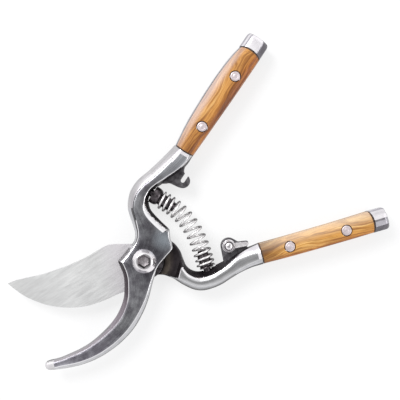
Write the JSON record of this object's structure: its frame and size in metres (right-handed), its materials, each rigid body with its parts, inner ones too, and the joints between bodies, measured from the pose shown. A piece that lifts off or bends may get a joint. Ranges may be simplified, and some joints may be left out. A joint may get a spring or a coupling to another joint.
{
  "type": "pruning shears",
  "caption": "Bypass pruning shears with forged steel levers, curved cutting blade and hook, riveted wooden handle scales, coil spring and swinging latch, shown open.",
  "frame": {"origin": "on the pivot axis, in the plane of the back faces that the shears lie on (the end face of the pivot bolt)", "axes": "+Z along the pivot axis from the back to the front, where the hook lever and the bolt head are; +X from the pivot between the two open handles, along the bisector of their 40.7 degree opening; +Y towards the handle of the hook lever"},
  "size_m": [0.1929, 0.1252, 0.018],
  "materials": {
    "forged_steel": "forged carbon steel, polished dark grey top faces with bright ground bevels, black as-forged inner sides",
    "blade_steel": "ground satin steel with fine brushing",
    "bright_steel": "bright plated or turned steel",
    "black_steel": "black oxide steel, slightly rough",
    "spring_steel": "bright drawn spring wire",
    "handle_wood": "oiled honey-coloured hardwood with brown streaks"
  },
  "bodies": {
    "blade_arm": {"blade_lever": "forged_steel", "blade": "blade_steel", "blade_rivet": "bright_steel", "blade_scale_front": "handle_wood", "blade_scale_back": "handle_wood", "blade_rivet_1": "bright_steel", "blade_rivet_2": "bright_steel", "blade_spring_peg": "black_steel", "pivot_bolt": "bright_steel", "pivot_nut": "bright_steel", "pivot_washer": "bright_steel", "pivot_bushing": "bright_steel", "latch_rivet": "bright_steel", "latch_washer": "bright_steel", "coil_spring": "spring_steel"},
    "hook_arm": {"hook_lever": "forged_steel", "hook_scale_front": "handle_wood", "hook_scale_back": "handle_wood", "hook_rivet_1": "bright_steel", "hook_rivet_2": "bright_steel", "hook_spring_peg": "black_steel"},
    "latch": {"latch_lever": "forged_steel", "latch_cross_pin": "bright_steel"}
  },
  "joints": [
    {"name": "pivot", "type": "hinge", "parent": "blade_arm", "child": "hook_arm", "pos_m": [0, 0, 0.0094], "axis": [0, 0, -1], "range_deg": [0, 43.5], "stiffness_Nm_per_rad": 1.2, "springref_deg": -17.19, "deforming": ["coil_spring"]},
    {"name": "latch_swing", "type": "hinge", "parent": "blade_arm", "child": "latch", "pos_m": [0.03994, -0.01972, 0.0112], "axis": [0, 0, 1], "range_deg": [0, 80]}
  ]
}
